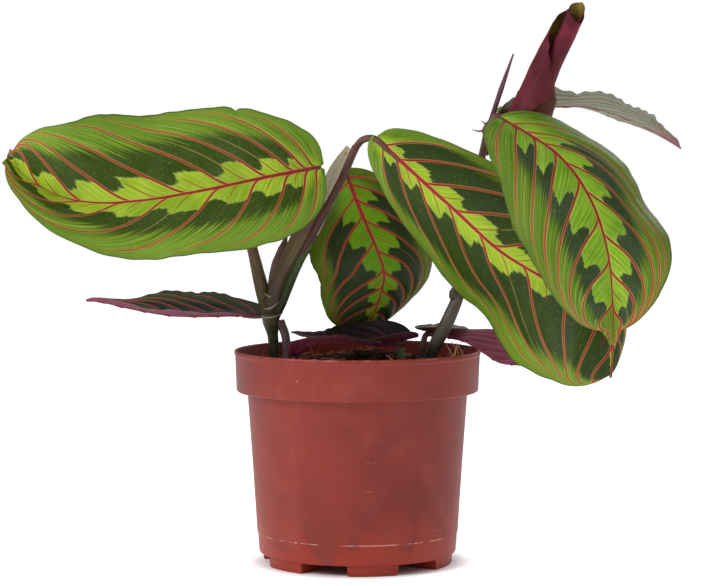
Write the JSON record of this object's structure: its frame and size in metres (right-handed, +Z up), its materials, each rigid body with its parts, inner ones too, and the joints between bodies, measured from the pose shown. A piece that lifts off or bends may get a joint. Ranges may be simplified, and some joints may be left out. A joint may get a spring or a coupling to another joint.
{
  "type": "potted prayer plant",
  "caption": "Low herringbone-veined houseplant with broad patterned leaves on short jointed stems, rooted in soil in a round tapered plastic nursery pot with a banded rim and feet.",
  "frame": {"origin": "middle of the pot's foot circle, on the surface it stands on, which is the bottom centre of the bounding box", "axes": "+Z up, -Y towards the side the picture shows, +X to the right in the picture, along the widest spread of the leaves"},
  "size_m": [0.3377, 0.1447, 0.2699],
  "materials": {
    "pot": "semi-matte moulded terracotta-brown plastic with fine scuffs",
    "soil": "coarse dark peat with coir fibres and bark chips",
    "stem": "smooth green and purple-brown stems and sheaths, soft sheen",
    "leaf": "green blade with lime centre, dark blotches and red veins, satin, grey-green and wine red beneath",
    "leaf_young": "wine purple rolled young leaf, soft sheen",
    "leaf_dark": "dark old leaf with red veins, magenta beneath, satin"
  },
  "bodies": {
    "root": {"pot": "pot", "soil": "soil", "stem_left": "stem", "stem_right": "stem", "stem_stub": "stem", "leaf_left": "leaf", "leaf_centre": "leaf", "leaf_long": "leaf", "leaf_front": "leaf", "leaf_back": "leaf", "leaf_rolled": "leaf_young", "leaf_spike": "leaf_young", "leaf_low_left": "leaf_dark", "leaf_low_front": "leaf_dark", "leaf_low_under": "leaf_dark", "leaf_low_right": "leaf_dark"}
  },
  "joints": []
}
